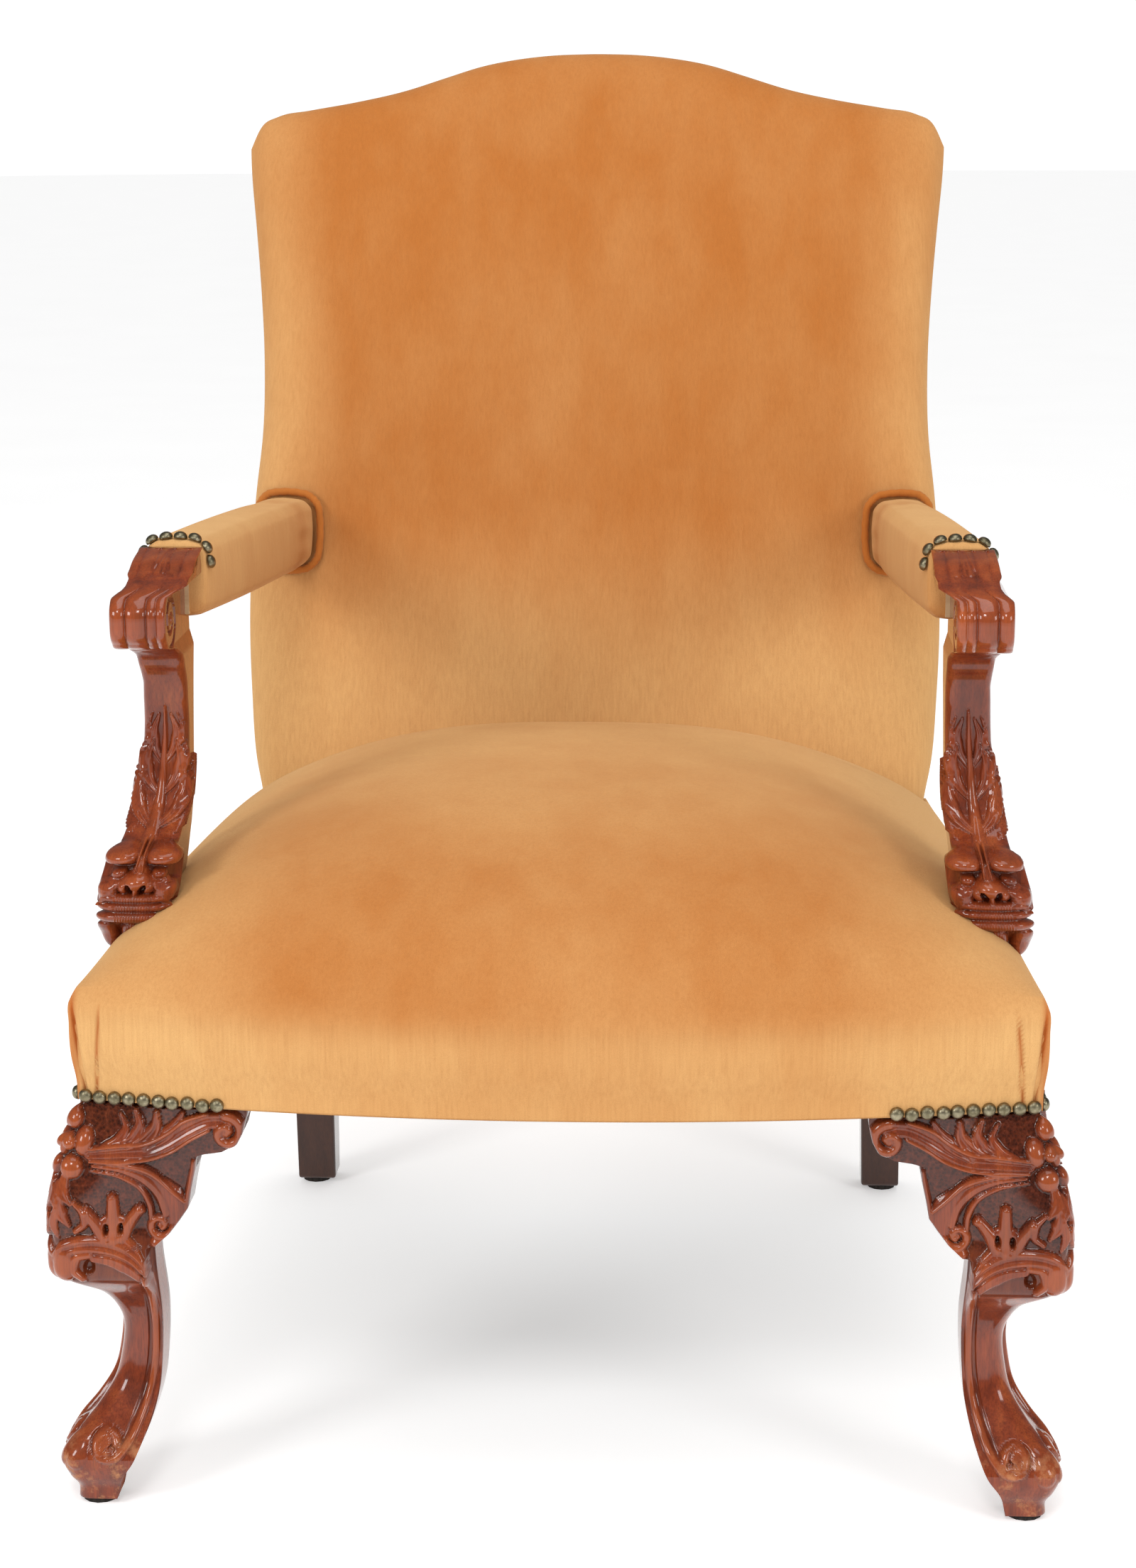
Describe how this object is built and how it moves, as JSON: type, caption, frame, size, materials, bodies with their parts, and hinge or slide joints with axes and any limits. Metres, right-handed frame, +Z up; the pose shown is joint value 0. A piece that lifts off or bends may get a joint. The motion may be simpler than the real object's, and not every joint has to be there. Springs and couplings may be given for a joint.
{
  "type": "upholstered open armchair",
  "caption": "Open armchair with a domed velvet seat, a shaped padded back, padded arms, nailed edges and carved cabriole front legs.",
  "frame": {"origin": "on the floor, under the middle of the chair's box", "axes": "+Z up, the front of the chair towards -Y, +X towards the right as seen from the front"},
  "size_m": [0.693, 0.7542, 0.9877],
  "materials": {
    "mahogany": "carved and varnished to a gloss, red-brown with dark hollows",
    "beech": "plain sawn frame wood, unfinished",
    "velvet": "short-pile amber cotton velvet, brushed into lighter and darker patches",
    "padding": "felted cotton and hair",
    "jute": "coarse woven jute",
    "cambric": "fine black cloth",
    "brass": "antiqued, dark in the hollows",
    "steel": "drawn wire and screws",
    "felt": "dense felt pads"
  },
  "bodies": {
    "root": {"front_leg_left": "mahogany", "front_leg_right": "mahogany", "knee_bracket_front_left": "mahogany", "knee_bracket_front_right": "mahogany", "knee_bracket_side_left": "mahogany", "knee_bracket_side_right": "mahogany", "rear_post_left": "mahogany", "rear_post_right": "mahogany", "seat_rail_front": "beech", "seat_rail_side_left": "beech", "seat_rail_side_right": "beech", "seat_rail_rear": "beech", "back_rail_lower": "beech", "back_rail_crest": "beech", "corner_block_front_left": "beech", "corner_block_front_right": "beech", "corner_block_rear_left": "beech", "corner_block_rear_right": "beech", "corner_block_front_screw_left": "steel", "corner_block_front_screw_right": "steel", "corner_block_rear_screw_left": "steel", "corner_block_rear_screw_right": "steel", "arm_support_left": "mahogany", "arm_support_right": "mahogany", "arm_rail_left": "beech", "arm_rail_right": "beech", "arm_padding_left": "padding", "arm_padding_right": "padding", "arm_cover_left": "velvet", "arm_cover_right": "velvet", "arm_welt_left": "velvet", "arm_welt_right": "velvet", "arm_nails_left": "brass", "arm_nails_right": "brass", "seat_webbing": "jute", "seat_spring_front_left": "steel", "seat_spring_front_centre": "steel", "seat_spring_front_right": "steel", "seat_spring_middle_left": "steel", "seat_spring_middle_centre": "steel", "seat_spring_middle_right": "steel", "seat_spring_rear_left": "steel", "seat_spring_rear_centre": "steel", "seat_spring_rear_right": "steel", "seat_hessian": "jute", "seat_padding": "padding", "seat_cover": "velvet", "dust_cover": "cambric", "leg_nails_left": "brass", "leg_nails_right": "brass", "back_webbing": "jute", "back_padding": "padding", "back_cover_front": "velvet", "back_cover_rear": "velvet", "foot_glide_front_left": "felt", "foot_glide_front_right": "felt", "foot_glide_rear_left": "felt", "foot_glide_rear_right": "felt"}
  },
  "joints": []
}
